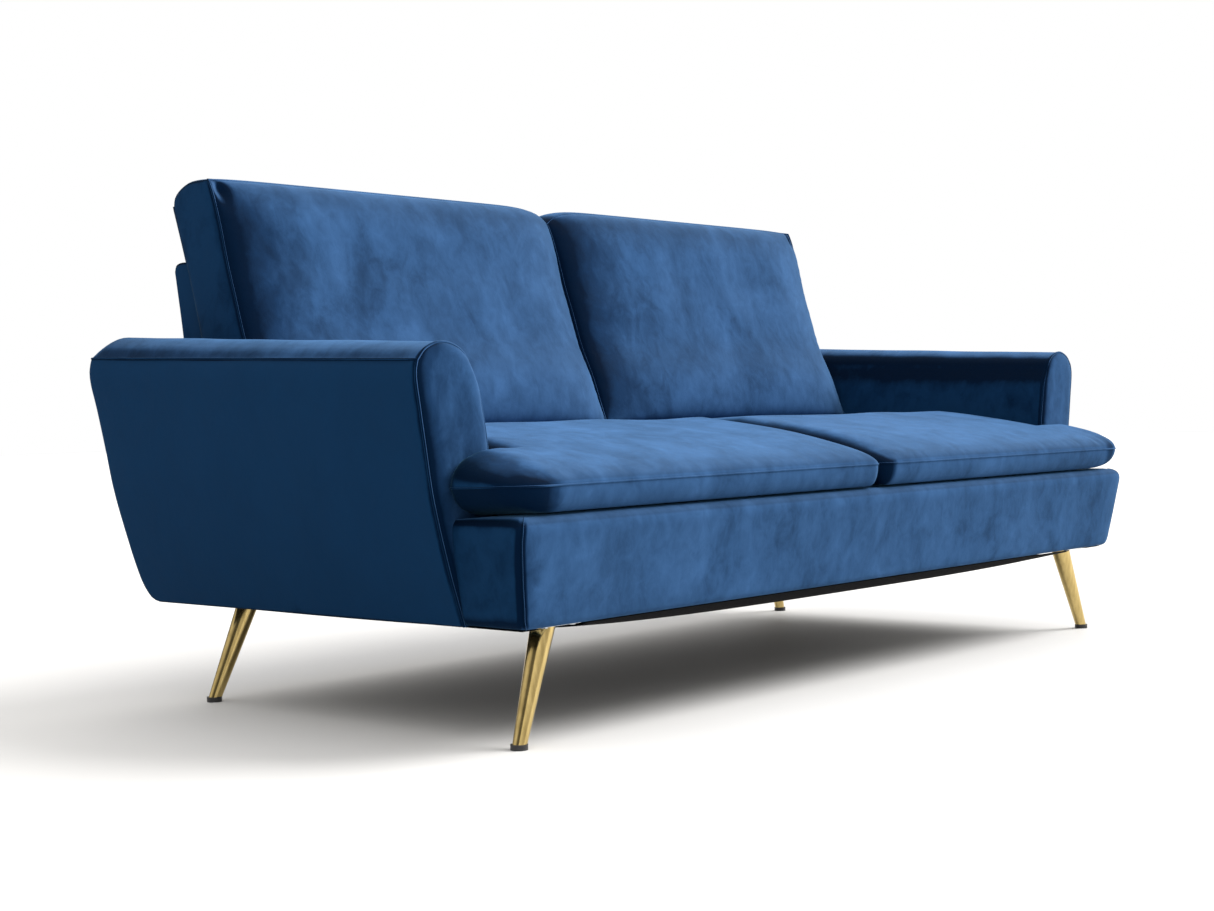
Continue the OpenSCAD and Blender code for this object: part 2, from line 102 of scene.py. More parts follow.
class Shader(Nodes):
    """One node material, laid out in the object's own coordinates."""

    def __init__(self, name):
        self.material = bpy.data.materials.new(name)
        self.material.use_nodes = True
        super().__init__(self.material.node_tree)
        self.bsdf = self.tree.nodes["Principled BSDF"]
        self.coords = self.add("TexCoord").outputs
        self.place = self.coords["Object"]

    def set(self, **values):
        for name, value in values.items():
            self.bsdf.inputs[name.replace("_", " ")].default_value = value

    def stretched(self, scale):
        node = self.add("Mapping", {"Scale": scale})
        self.link(self.place, node.inputs["Vector"])
        return node.outputs[0]

    def noise(self, scale, detail=4, roughness=0.55, warp=0, vector=None):
        node = self.add("TexNoise", {
            "Scale": scale, "Detail": detail, "Roughness": roughness, "Distortion": warp})
        self.link(vector or self.place, node.inputs["Vector"])
        return node.outputs["Fac"]

    def threads(self, scale, axis):
        node = self.add("TexWave", {"Scale": scale}, wave_profile="SIN", bands_direction=axis)
        self.link(self.place, node.inputs["Vector"])
        return node.outputs["Fac"]

    def colour(self, source):
        self.link(source, self.bsdf.inputs["Base Color"])

    def roughness(self, fac, low, high):
        node = self.add("MapRange", {"To Min": low, "To Max": high})
        self.link(fac, node.inputs["Value"])
        self.link(node.outputs[0], self.bsdf.inputs["Roughness"])

    def bump(self, *layers):
        """Each layer is a height source and its depth in metres."""
        normal = None
        for height, depth in layers:
            node = self.add("Bump", {"Strength": 1, "Distance": depth})
            self.link(height, node.inputs["Height"])
            if normal:
                self.link(normal, node.inputs["Normal"])
            normal = node.outputs[0]
        self.link(normal, self.bsdf.inputs["Normal"])


# ---------- materials ----------

def floor_material():
    s = Shader("floor_white")
    s.colour(s.ramp(s.noise(1.5, 3), greys((0.3, 0.50), (0.7, 0.52))))
    s.set(Roughness=0.6, Specular_IOR_Level=0.2)
    return s.material


def velvet_material():
    """Blue velvet. Its nap lies in cloudy patches. On top of that its colour holds painted light: it is
    darker where the cloth faces away from the key light on the right, lighter where it faces right and up."""
    s = Shader("velvet_blue")
    upright = s.stretched((1.0, 1.0, 0.7))
    clouds = s.noise(9, 6, 0.6, 0.6, upright)
    smears = s.noise(34, 5, 0.62, 0.5, upright)
    nap_and_painted_light = s.math("ADD", s.math("MULTIPLY", clouds, 0.6), s.math("MULTIPLY", smears, 0.4))
    uneven = s.math("SUBTRACT", nap_and_painted_light, 0.5)
    facing = s.add("SeparateXYZ")
    s.link(s.coords["Normal"], facing.inputs[0])
    upward = s.math("MAXIMUM", facing.outputs["Z"], 0)
    # painted light: how far each face turns towards the key light on the right, lifted on up-facing tops and
    # shifted by each piece's painted light offsets
    painted_light_offset = s.add("Attribute", attribute_name="nap_and_painted_light")
    toward_light = s.math("ADD", facing.outputs["X"], s.math("MULTIPLY", s.math("POWER", upward, 3), 0.4))
    toward_light = s.math("ADD", toward_light, painted_light_offset.outputs["Fac"])
    toward_light_fac = s.math("ADD", s.math("MULTIPLY", toward_light, 0.5), 0.5)
    # painted shade and painted highlight: dark blues where a face turns away from the light, lighter blues
    # where it turns to it
    painted_light_colour = s.ramp(s.math("ADD", toward_light_fac, s.math("MULTIPLY", uneven, 0.2)), [
        (0.00, (0.0030, 0.0200, 0.056)), (0.055, (0.0003, 0.0055, 0.019)), (0.33, (0.0003, 0.0058, 0.020)),
        (0.42, (0.0060, 0.0240, 0.066)), (0.49, (0.0190, 0.0550, 0.132)), (0.62, (0.0320, 0.0780, 0.172))])
    # the random mottle is weaker on the painted dark side
    patchy = s.ramp(toward_light_fac, greys((0.3, 0.2), (0.5, 1)))
    mottle_and_painted_shade = s.math("ADD", s.math("MULTIPLY", s.math("MULTIPLY", uneven, patchy), 1.7), 1)
    # painted shade on half-upward slopes, lighter again on flat tops and upright faces
    slope_painted_shade = s.ramp(upward, greys((0, 0.90), (0.3, 0.84), (0.5, 0.62), (0.88, 0.62), (0.99, 0.86)))
    mottle_and_painted_shade = s.math("MULTIPLY", mottle_and_painted_shade, s.math("MULTIPLY", slope_painted_shade, 1.2))
    shade = s.add("VectorMath", operation="SCALE")
    s.link(painted_light_colour, shade.inputs[0])
    s.link(mottle_and_painted_shade, shade.inputs["Scale"])
    s.colour(shade.outputs[0])
    s.roughness(smears, 0.62, 0.85)
    s.set(Sheen_Weight=0.12, Sheen_Roughness=0.3, Sheen_Tint=(0.20, 0.56, 0.95, 1))
    s.set(Specular_IOR_Level=0.02)
    s.bump((s.noise(1500, 2, 0.5), 0.00012), (s.noise(60, 4, 0.6, 0.4, upright), 0.0006))
    return s.material


def brass_material():
    s = Shader("brass_satin")
    grain = s.noise(60, 2, 0.5, 0, s.stretched((3, 3, 0.1)))
    s.colour(s.ramp(grain, [(0.3, (0.44, 0.325, 0.125)), (0.7, (0.60, 0.455, 0.19))]))
    s.set(Metallic=1)
    s.roughness(grain, 0.12, 0.2)
    s.bump((s.noise(500, 2, 0.5, 0, s.stretched((1, 1, 0.03))), 0.00001))
    return s.material


def plastic_material():
    s = Shader("plastic_black")
    speckle = s.noise(400, 3)
    s.colour(s.ramp(speckle, [(0.3, (0.010, 0.010, 0.011)), (0.7, (0.020, 0.020, 0.022))]))
    s.roughness(speckle, 0.4, 0.55)
    s.bump((speckle, 0.00005))
    return s.material


def wood_material():
    s = Shader("hardwood")
    grain = s.noise(30, 6, 0.6, 1.2, s.stretched((0.25, 3, 3)))
    pores = s.noise(260, 2, 0.5, 0, s.stretched((0.15, 2, 2)))
    s.colour(s.ramp(s.math("ADD", s.math("MULTIPLY", grain, 0.8), s.math("MULTIPLY", pores, 0.2)), [
        (0.3, (0.30, 0.17, 0.075)), (0.5, (0.46, 0.29, 0.14)), (0.7, (0.60, 0.41, 0.22))]))
    s.roughness(grain, 0.5, 0.7)
    s.bump((pores, 0.0002))
    return s.material


def steel_material():
    s = Shader("zinc_steel")
    spangle = s.noise(90, 4, 0.6, 0.6)
    s.colour(s.ramp(spangle, [(0.3, (0.42, 0.44, 0.46)), (0.7, (0.62, 0.64, 0.66))]))
    s.set(Metallic=1)
    s.roughness(spangle, 0.28, 0.45)
    s.bump((spangle, 0.00005))
    return s.material


BAND_SCALE = 0.314          # a wave texture's scale times the pitch of its bands


def woven_material(name, dark, light, pitch, depth):
    """Plain weave: two crossed sets of threads, pitch metres apart."""
    s = Shader(name)
    bands = BAND_SCALE / pitch
    weave = s.math("MAXIMUM", s.threads(bands, "X"), s.threads(bands, "Y"))
    fuzz = s.noise(40, 4)
    s.colour(s.ramp(s.math("MULTIPLY", weave, s.math("ADD", fuzz, 0.4)), [(0.2, dark), (0.9, light)]))
    s.roughness(fuzz, 0.8, 0.95)
    s.set(Specular_IOR_Level=0.1)
    s.bump((weave, depth))
    return s.material


def foam_material():
    s = Shader("foam_cream")
    cells = s.noise(500, 3, 0.6)
    s.colour(s.ramp(s.noise(12, 4), [(0.3, (0.72, 0.63, 0.40)), (0.7, (0.84, 0.77, 0.54))]))
    s.roughness(cells, 0.85, 1)
    s.bump((cells, 0.0006))
    return s.material


MATERIALS = {
    "velvet": velvet_material(),
    "foam": foam_material(),
    "hardwood": wood_material(),
    "brass_leg": brass_material(),
    "glide_plastic": plastic_material(),
    "zinc_steel": steel_material(),
    "webbing": woven_material("webbing_black", (0.012, 0.012, 0.014), (0.075, 0.075, 0.08), 0.003, 6e-4),
    "deck_cloth": woven_material("deck_cloth", (0.010, 0.011, 0.014), (0.04, 0.042, 0.05), 0.002, 3e-4),
    "dust_cloth": woven_material("dust_cloth", (0.0015, 0.0015, 0.002), (0.005, 0.005, 0.006), 0.0015, 2e-4),
}


# ---------- camera, floor and light ----------

def make_camera():
    """A low three-quarter view from the front left, placed in metres and turned in radians."""
    place = Vector((-2.744526, -2.210328, 0.472998))
    yaw, pitch, roll = 0.856583, -0.024946, -0.021091
    sensor_w, focal_per_width = 36, 1900 / 1214
    ahead = Vector((math.sin(yaw) * math.cos(pitch), math.cos(yaw) * math.cos(pitch), math.sin(pitch)))
    level = Vector((math.cos(yaw), -math.sin(yaw), 0))
    upright = level.cross(ahead)
    right = math.cos(roll) * level + math.sin(roll) * upright
    up = -math.sin(roll) * level + math.cos(roll) * upright
    data = bpy.data.cameras.new("camera")
    data.sensor_width = sensor_w
    data.lens = sensor_w * focal_per_width
    data.clip_end = 60
    camera = bpy.data.objects.new("camera", data)
    camera.matrix_world = Matrix((
        (right.x, up.x, -ahead.x, place.x), (right.y, up.y, -ahead.y, place.y),
        (right.z, up.z, -ahead.z, place.z), (0, 0, 0, 1)))
    bpy.context.scene.collection.objects.link(camera)
    bpy.context.scene.camera = camera


def make_floor():
    bpy.ops.mesh.primitive_plane_add(size=40, location=(0, 0, 0))
    floor = bpy.context.object
    floor.name = "floor"
    floor.data.materials.append(floor_material())


def make_key_light():
    """A wide, soft sun from the front right."""
    sun = bpy.data.lights.new("key", "SUN")
    sun.energy = 4.3
    sun.angle = math.radians(34)
    sun.color = (1, 0.985, 0.965)
    key = bpy.data.objects.new("key", sun)
    key.rotation_euler = Vector((-0.60, 0.42, -0.68)).to_track_quat("-Z", "Y").to_euler()
    bpy.context.scene.collection.objects.link(key)


def make_backdrop():
    """Light from above that fades towards the horizon. The camera sees plain white instead, and
    reflections see a dark flag on the left of the camera, which gives the metal its streaks."""
    world = bpy.data.worlds.new("studio")
    bpy.context.scene.world = world
    world.use_nodes = True
    world.node_tree.nodes.clear()
    n = Nodes(world.node_tree)
    rays = n.add("LightPath").outputs
    direction = n.add("TexCoord").outputs["Generated"]

    axes = n.add("SeparateXYZ")
    n.link(direction, axes.inputs[0])
    fade = n.add("MapRange", {"From Min": 0.1, "From Max": 0.95, "To Min": 0.72, "To Max": 2.45},
                 interpolation_type="SMOOTHSTEP")
    n.link(axes.outputs["Z"], fade.inputs["Value"])

    leftward = n.add("VectorMath", {1: (-0.655, 0.756, 0)}, operation="DOT_PRODUCT")
    n.link(direction, leftward.inputs[0])
    reflected = n.math("MULTIPLY", leftward.outputs["Value"], rays["Is Glossy Ray"])
    flag = n.ramp(reflected, greys((0, 1), (0.08, 1), (0.16, 0.12), (0.60, 0.12), (1, 1)))

    overhead = n.add("Background", {"Color": (1, 0.98, 0.95, 1)})
    n.link(n.math("MULTIPLY", fade.outputs[0], flag), overhead.inputs["Strength"])
    white = n.add("Background", {"Color": (1, 1, 1, 1)})
    mix = n.add("MixShader")
    n.link(rays["Is Camera Ray"], mix.inputs["Fac"])
    n.link(overhead.outputs[0], mix.inputs[1])
    n.link(white.outputs[0], mix.inputs[2])
    n.link(mix.outputs[0], n.add("OutputWorld").inputs["Surface"])


# ---------- curves and meshes ----------

def curve_through(points, count=48):
    """A smooth curve through the points, as count places evenly spread along it."""
    p = np.array(points, float)
    p = np.vstack([2 * p[0] - p[1], p, 2 * p[-1] - p[-2]])
    t = np.linspace(0, 1, 16, endpoint=False)[:, None]
    steps = [
        0.5 * (2 * b + (c - a) * t + (2 * a - 5 * b + 4 * c - d) * t**2 + (3 * b - a - 3 * c + d) * t**3)
        for a, b, c, d in zip(p, p[1:], p[2:], p[3:])]
    path = np.vstack(steps + [p[-2:-1]])
    along = np.r_[0, np.cumsum(np.linalg.norm(np.diff(path, axis=0), axis=1))]
    even = np.linspace(0, along[-1], count)
    return np.stack([np.interp(even, along, path[:, k]) for k in range(path.shape[1])], 1)


def at(curve, t):
    """Places on a curve, where t runs from 0 to 1."""
    steps = np.linspace(0, 1, len(curve))
    return np.stack([np.interp(t, steps, curve[:, k]) for k in range(curve.shape[1])], -1)


def patch(low, high, start, end, u, v):
    """Coons patch. low and high run along u at v = 0 and 1, start and end along v at u = 0 and 1."""
    u, v = u[:, None], v[:, None]
    edges = (1 - v) * at(low, u[:, 0]) + v * at(high, u[:, 0])
    edges += (1 - u) * at(start, v[:, 0]) + u * at(end, v[:, 0])
    corners = (1 - u) * (1 - v) * low[0] + u * (1 - v) * low[-1] + (1 - u) * v * high[0] + u * v * high[-1]
    return edges - corners


def swell(t, sharp=4):
    """1 in the middle of a panel and 0 at its seams, at t = -1 and 1, where it rises steeply."""
    return np.sqrt(np.clip(1 - np.abs(t) ** sharp, 0, 1))


def ease(t):
    t = np.clip(t, 0, 1)
    return t * t * (3 - 2 * t)


def rounding(distance, radius):
    """How far a corner of that radius has drawn in, at a distance from the edge."""
    inside = np.clip(radius - distance, 0, radius)
    return radius - np.sqrt(radius**2 - inside**2)


def ripple(points, size, seed):
    """Smooth noise from -1 to 1 at each point, with features about size millimetres across."""
    shift = Vector((seed * 17.3, seed * 5.1, seed * 9.7))
    return np.array([noise.noise(Vector(p) / size + shift) for p in points])


def graded(count, bias=0.75):
    """count steps from -1 to 1, closer together at both ends."""
    t = np.linspace(-1, 1, count + 1)
    return (1 - bias) * t + bias * np.sin(t * math.pi / 2)


def box_surface(counts, bias=0.75):
    """Points from -1 to 1 on the surface of a box, and its quads, facing out."""
    na, nb, nc = counts
    axes = [graded(n, bias) for n in counts]
    index, points, quads = {}, [], []

    def corner(i, j, k):
        key = (i, j, k)
        if key not in index:
            index[key] = len(points)
            points.append((axes[0][i], axes[1][j], axes[2][k]))
        return index[key]

    def quad(far_side, *keys):
        face = [corner(*key) for key in keys]
        quads.append(face if far_side else face[::-1])

    for i in range(na):
        for j in range(nb):
            for k in (0, nc):
                quad(k, (i, j, k), (i + 1, j, k), (i + 1, j + 1, k), (i, j + 1, k))
    for i in range(na):
        for k in range(nc):
            for j in (0, nb):
                quad(j, (i, j, k), (i, j, k + 1), (i + 1, j, k + 1), (i + 1, j, k))
    for j in range(nb):
        for k in range(nc):
            for i in (0, na):
                quad(i, (i, j, k), (i, j + 1, k), (i, j + 1, k + 1), (i, j, k + 1))
    return np.array(points), quads


def on_surface(shape, a, b, c):
    """Points on a shape's surface, where a, b and c are numbers or rows of numbers."""
    a, b, c = np.broadcast_arrays(*(np.atleast_1d(np.array(k, float)) for k in (a, b, c)))
    return shape(np.stack([a, b, c], 1))


def make_mesh(name, points, quads, slot, body, nap_and_painted_light=None):
    """A smooth piece from points in millimetres, riding on a body and facing outwards. The last argument
    is painted light at each point: how much lighter or darker the velvet is painted there."""
    mesh = bpy.data.meshes.new(name)
    mesh.from_pydata((points * MM).tolist(), [], quads)
    mesh.validate()
    corners = points[np.array([q[:3] for q in quads])]
    if np.einsum("ij,ij->i", corners[:, 0], np.cross(corners[:, 1], corners[:, 2])).sum() < 0:
        mesh.flip_normals()
    mesh.polygons.foreach_set("use_smooth", [True] * len(mesh.polygons))
    mesh.materials.append(MATERIALS[slot])
    # the painted light offsets go on as a point attribute that the velvet reads
    if nap_and_painted_light is not None:
        mesh.attributes.new("nap_and_painted_light", "FLOAT", "POINT").data.foreach_set("value", nap_and_painted_light)
    piece = bpy.data.objects.new(name, mesh)
    bpy.context.scene.collection.objects.link(piece)
    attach(piece, body)
    return piece


def welt(name, points, body, radius=SEAM, closed=False):
    """A round velvet welt along a seam, as a closed tube."""
    data = bpy.data.curves.new(name, "CURVE")
    data.dimensions = "3D"
    data.bevel_depth = radius * MM
    data.bevel_resolution = 3
    data.use_fill_caps = True
    line = data.splines.new("POLY")
    line.points.add(len(points) - 1)
    line.use_cyclic_u = closed
    for point, place in zip(line.points, points):
        point.co = (*(np.array(place) * MM), 1)
    data.materials.append(MATERIALS["velvet"])
    piece = bpy.data.objects.new(name, data)
    bpy.context.scene.collection.objects.link(piece)
    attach(piece, body)


def mirrored(points, side):
    return points * np.array([side, 1, 1])


# ---------- arms ----------

ARM_OUTER = curve_through([
    (873, 170), (902, 256), (928, 350), (941, 425), (950, 482), (955, 512), (956, 530), (952, 545)])
ARM_INNER = curve_through([(806, 170), (807, 330), (812, 421), (822, 479), (829, 508), (843, 534)])
ARM_TOP = curve_through([
    (843, 534), (852, 550), (868, 562), (890, 569), (912, 569), (936, 560), (952, 545)])
ARM_BELOW = curve_through([(806, 170), (840, 170), (873, 170)])
REAR_EDGE = curve_through([
    (400, 170), (416, 175), (426, 190), (431, 215), (434, 300), (438, 393), (444, 465), (449, 510),
    (455, 545), (457, 570), (457, 620)])


def arm_shape(grid):
    """Section in X and Z, swept from the front edge to the rear edge while the crest rises."""
    a, b, c = grid.T
    t = (1 - c) / 2
    flat = patch(ARM_BELOW, ARM_TOP, ARM_INNER, ARM_OUTER, (a + 1) / 2, (b + 1) / 2)
    x, z = flat[:, 0], flat[:, 1]
    nominal = ARM_FRONT + (ARM_REAR - ARM_FRONT) * t
    rise = CREST_SLOPE * (nominal - ARM_FRONT) * (np.clip(z - LEG_H, 0, None) / ARM_H) ** 5
    z = z + rise
    x = x + SPLAY * rise * (a + 1) / 2

    # the crest drops at the rear corner, the sides draw in at both ends, and the rear edge is curved
    z = z - 0.66 * rounding(ARM_REAR - nominal, 44) * ease((z - rise - 540) / 30)
    x = x - rounding(ARM_REAR - nominal, 12) * a - rounding(nominal - ARM_FRONT, 4) * a
    nominal = nominal - 9 * ease((z - rise - 500) / 60) * ease((nominal - ARM_REAR + 60) / 60)
    t = (nominal - ARM_FRONT) / (ARM_REAR - ARM_FRONT)
    rear = np.interp(z, REAR_EDGE[:, 1], REAR_EDGE[:, 0])
    y = ARM_FRONT + (rear - ARM_FRONT) * t

    # padding swells the outer, front and rear panels
    x = x + 4 * swell(b) * swell(c, 8) * (a == 1)
    y = y - 7 * swell(a) * swell(b, 8) * (c == 1) + 5 * swell(a) * swell(b, 8) * (c == -1)
    return np.stack([x, y, z], 1)


def make_arm(name, side):
    grid, quads = box_surface((26, 70, 90), 0.6)
    points = mirrored(arm_shape(grid), side)
    a, b, c = grid.T

    # painted light: a painted highlight along the crest, and painted shade on the left arm's near facing and
    # on the outside
    crest = (b == 1) * (np.abs(c) < 1) * ease((a + 0.8) / 0.7)
    nap_and_painted_light = 0.55 * crest - 0.10 * (c == 1) * (side < 0) - 0.12 * (a == 1) * (np.abs(c) < 1)
    upper = ease((points[:, 2] - 200) / 200)
    points[:, 0] += side * 1.6 * ripple(points, 170, side) * upper
    points[:, 2] += 1.1 * ripple(points, 130, side + 4) * upper
    piece = make_mesh(f"arm_upholstery_{name}", points, quads, "velvet", "frame", nap_and_painted_light)
    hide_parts(f"arm_outer_panel_{name}", f"arm_front_facing_{name}", f"arm_wrap_{name}")

    steps = np.linspace(-1, 1, 80)
    top = on_surface(arm_shape, 1, 1, steps)
    facing = np.vstack([
        on_surface(arm_shape, -1, steps, 1), on_surface(arm_shape, steps, 1, 1)[1:],
        on_surface(arm_shape, 1, steps[::-1], 1)[1:]])
    welt(f"arm_top_welt_{name}", mirrored(top, side), "frame")
    welt(f"arm_facing_welt_{name}", mirrored(facing, side), "frame")


# ---------- base ----------

BASE_REAR, BASE_REAR_TOP = -313, 322
BASE_FRONT = curve_through([
    (-416, 170), (-427, 174), (-431, 186), (-437, 225), (-446, 285), (-450, 308), (-448, 319), (-440, 326),
    (-428, 328)])
BASE_TOP = curve_through([(-428, 328), (-380, 327), (BASE_REAR, BASE_REAR_TOP)])
BASE_SIDE = curve_through([
    (852, 170), (866, 173), (873, 184), (876, 200), (884, 240), (892, 290), (893, 310), (889, 320),
    (880, 326), (868, 328)])


def base_shape(grid):
    """The padded box under the cushions: its front face leans out and rolls over at the top."""
    a, b, c = grid.T
    v, t = (b + 1) / 2, (c + 1) / 2
    front = at(BASE_FRONT, v)
    rear_z = LEG_H + (BASE_REAR_TOP - LEG_H) * v
    y = BASE_REAR + (front[:, 0] - BASE_REAR) * t
    z = rear_z + (front[:, 1] - rear_z) * t
    over = np.interp(y, BASE_TOP[:, 0], BASE_TOP[:, 1])
    z = np.where(b == 1, over, z)
    half = np.interp(z, BASE_SIDE[:, 1], BASE_SIDE[:, 0])
    corner = rounding(half * (1 - np.abs(a)), 5) * (c == 1)
    x = half * a
    y = y + corner - 4 * (1 - a**40) * swell(b) * (c == 1)
    x = x + a * 3 * swell(b) * (1 - c**8) * (np.abs(a) == 1)
    return np.stack([x, y, z], 1)


def make_base():
    grid, quads = box_surface((220, 44, 16), 0.35)
    points = base_shape(grid)
    front = ease((-400 - points[:, 1]) / 25)
    points[:, 1] += 1.5 * ripple(points, 150, 2) * front
    piece = make_mesh("base_upholstery", points, quads, "velvet", "frame")
    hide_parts("apron_cover")
    steps = np.linspace(-0.96, 0.93, 40)
    for name, side in SIDES.items():
        line = on_surface(base_shape, side * 0.9965, steps, 1)
        welt(f"base_corner_welt_{name}", line, "frame", 0.8)


# ---------- seat cushions ----------

SEAT_EDGES = {"front": -458, "rear": 256, "inner": 1.5, "outer": 803, "ear_end": 912, "ear_rear": -312}
SEAT_SEAM_Z = 369           # height of a seat cushion's seam at its front
EAR_REACH = {-1: (105, 95), 1: (66, 140)}     # how far the top and the underside of an ear curve in
CORE_INSET = 14


def deck_top(y):
    return 324.2 - DECK_SLOPE * (y + 325)


def seam_height(y):
    return SEAT_SEAM_Z - 0.35 * DECK_SLOPE * (y - SEAT_EDGES["front"])


def inset_edges(inset):
    """The lines that bound a seat cushion's plan, drawn in by inset."""
    inwards = {"front": 1, "inner": 1}
    return {name: place + inset * inwards.get(name, -1) for name, place in SEAT_EDGES.items()}


def fullness(distance, reach):
    """How full a cushion is, from 0 at a seam to 1 at reach millimetres inside it."""
    t = np.clip(distance / reach, 0, 1)
    return np.sqrt(1 - (1 - t) ** 2.4)


def plan_fullness(x, y, edge, reach, ear_reach):
    """A wide body and an ear in front of the arm, joined by a soft valley."""
    inner = fullness(x - edge["inner"], reach * 1.15)
    body = fullness(edge["outer"] - x, reach) * fullness(edge["rear"] - y, reach)
    ear = fullness(edge["ear_end"] - x, ear_reach) * fullness(edge["ear_rear"] - y, reach * 0.5)
    return inner * np.maximum(body, ear)


def round_corner(x, y, corner, out, radius):
    """Moves the points of a square corner on to a round one. out points out of the corner."""
    p = 1 - (corner[0] - x) * out[0] / radius
    q = 1 - (corner[1] - y) * out[1] / radius
    near = (p > 0) & (q > 0)
    p, q = np.clip(p, 0, 1), np.clip(q, 0, 1)
    new_x = corner[0] - out[0] * radius * (1 - p * np.sqrt(1 - q**2 / 2))
    new_y = corner[1] - out[1] * radius * (1 - q * np.sqrt(1 - p**2 / 2))
    return np.where(near, new_x, x), np.where(near, new_y, y)


def steps_between(edges, coarse):
    """Places along an axis, close together at each edge and further apart between them."""
    out = [edges[0]]
    for lo, hi in zip(edges, edges[1:]):
        count = int((hi - lo) / coarse) + 12
        out.extend((lo + (hi - lo) * (graded(count, 0.9) + 1) / 2)[1:])
    return np.array(out)


def seat_plan(edge, coarse):
    """A seat cushion's plan: its grid points, its cells, and the next point for each one on its
    border."""
    xs = steps_between([edge["inner"], edge["outer"], edge["ear_end"]], coarse)
    ys = steps_between([edge["front"], edge["ear_rear"], edge["rear"]], coarse)
    cells = [(i, j) for i in range(len(xs) - 1) for j in range(len(ys) - 1)
             if xs[i + 1] < edge["outer"] + 0.01 or ys[j + 1] < edge["ear_rear"] + 0.01]
    rings = [[(i, j), (i + 1, j), (i + 1, j + 1), (i, j + 1)] for i, j in cells]
    arrows = {(ring[k], ring[(k + 1) % 4]) for ring in rings for k in range(4)}
    border = {start: end for start, end in arrows if (end, start) not in arrows}
    places = {knot: (xs[knot[0]], ys[knot[1]]) for ring in rings for knot in ring}
    return places, rings, border


def seat_solid(side, inset, coarse):
    """Points and quads of a seat cushion: a top and a bottom panel that meet in one seam, and the
    points of that seam in order."""
    edge = inset_edges(inset)
    places, rings, border = seat_plan(edge, coarse)
    knots = sorted(places)
    free = [knot for knot in knots if knot not in border]
    top = {knot: n for n, knot in enumerate(knots)}
    under = {**top, **{knot: len(knots) + n for n, knot in enumerate(free)}}

    # the crown climbs from the front seam, then follows the deck down to the back
    x, y = np.array([places[knot] for knot in knots]).T
    thin = 1 - inset / 110
    run = np.clip(y - edge["front"], 0, 345)
    crown = 4.85 * np.sqrt(run) - 0.65 * DECK_SLOPE * np.clip(y + 113, 0, None)
    top_reach, under_reach = EAR_REACH[side]
    above = thin * crown * plan_fullness(x, y, edge, 62, top_reach)
    below = thin * (seam_height(y) - deck_top(y) - 1) * plan_fullness(x, y, edge, 22, 35)
    below *= fullness(y - edge["front"], 22) * fullness(edge["ear_end"] + 3 - x, under_reach) ** 1.7
    seam = seam_height(y)
    px, py = round_corner(x, y, (edge["ear_end"], edge["front"]), (1, -1), 70)
    px, py = round_corner(px, py, (edge["inner"], edge["front"]), (-1, -1), 34)
    px, py = round_corner(px, py, (edge["ear_end"], edge["ear_rear"]), (1, 1), 40)

    # soft waves over the top, and short puckers that run out from the seam
    flat = np.stack([side * px, py, seam], 1)
    away = np.minimum(np.minimum(y - edge["front"], x - edge["inner"]),
                      np.maximum(edge["outer"] - x, edge["ear_rear"] - y))
    above += 2.8 * ripple(flat, 140, side + 2) * ease(away / 60)
    puckers = 1.7 * ripple(flat * np.array([1, 0.25, 0.25]), 16, side + 8)
    above += puckers * np.exp(-np.abs(away - 12) / 14) * ease(away / 5)

    upper = np.stack([px, py, seam + above], 1)
    lower = np.stack([px, py, seam - below], 1)[[top[knot] for knot in free]]
    points = mirrored(np.vstack([upper, lower]), side)
    quads = [[top[knot] for knot in ring] for ring in rings]
    quads += [[under[knot] for knot in ring[::-1]] for ring in rings]
    loop = [min(border)]
    while len(loop) < len(border):
        loop.append(border[loop[-1]])
    return points, quads, points[[top[knot] for knot in loop]]


def make_seat(name, side):
    body = f"seat_{name}"
    points, quads, seam = seat_solid(side, 0, 8)
    out = np.abs(points[:, 0])

    # painted shade on the ears, except at their tips
    nap_and_painted_light = -0.3 * ease((out - 800) / 50) * (1 - ease((out - 862) / 36))
    cover = make_mesh(f"seat_cushion_{name}", points, quads, "velvet", body, nap_and_painted_light)
    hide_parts(f"seat_cushion_cover_{name}")
    welt(f"seat_welt_{name}", seam, body, 1.5, closed=True)
    points, quads, _ = seat_solid(side, CORE_INSET, 24)
    core = make_mesh(f"seat_foam_{name}", points, quads, "foam", body)
    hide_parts(f"seat_cushion_core_{name}")


# ---------- back cushions ----------

BACK_HALF = 813             # from the sofa's middle to a back cushion's outer side
BACK_FRONT = curve_through([
    (170, 446), (184, 480), (206, 535), (235, 597), (260, 676), (274, 722), (289, 786), (304, 838),
    (314, 860)])
BACK_REAR = curve_through([(300, 434), (346, 602), (371, 695), (407, 822)])
BACK_UPPER = curve_through([(407, 822), (399, 842), (366, 858), (314, 860)])
BACK_LOWER = curve_through([(300, 434), (236, 438), (170, 446)])


def back_shape(grid):
    """A boxed cushion: side view swept across, with a crowned face and a soft gusset."""
    a, b, c = grid.T
    flat = patch(BACK_LOWER, BACK_UPPER, BACK_REAR, BACK_FRONT, (c + 1) / 2, (b + 1) / 2)
    y, z = flat[:, 0], flat[:, 1]
    half_gap = 0.75
    x = BACK_HALF / 2 + half_gap + (BACK_HALF / 2 - half_gap) * a
    x = x - 5 * (1 - b**2) * a * np.abs(a) ** 6
    crown = swell(a, 3.2) * swell(b, 5) * (c == 1)
    y = y - 38 * crown
    z = z + 11 * crown

    # the inner top corner droops, and the top and the sides swell
    droop = 24 * np.clip(-a, 0, 1) ** 14 * ease((b + 0.2) / 1.2)
    z = z - droop + 8 * swell(a, 8) * swell(c) * (b == 1)
    x = x + 6 * a * swell(b, 8) * swell(c) * (np.abs(a) == 1)
    return np.stack([x, y, z], 1)


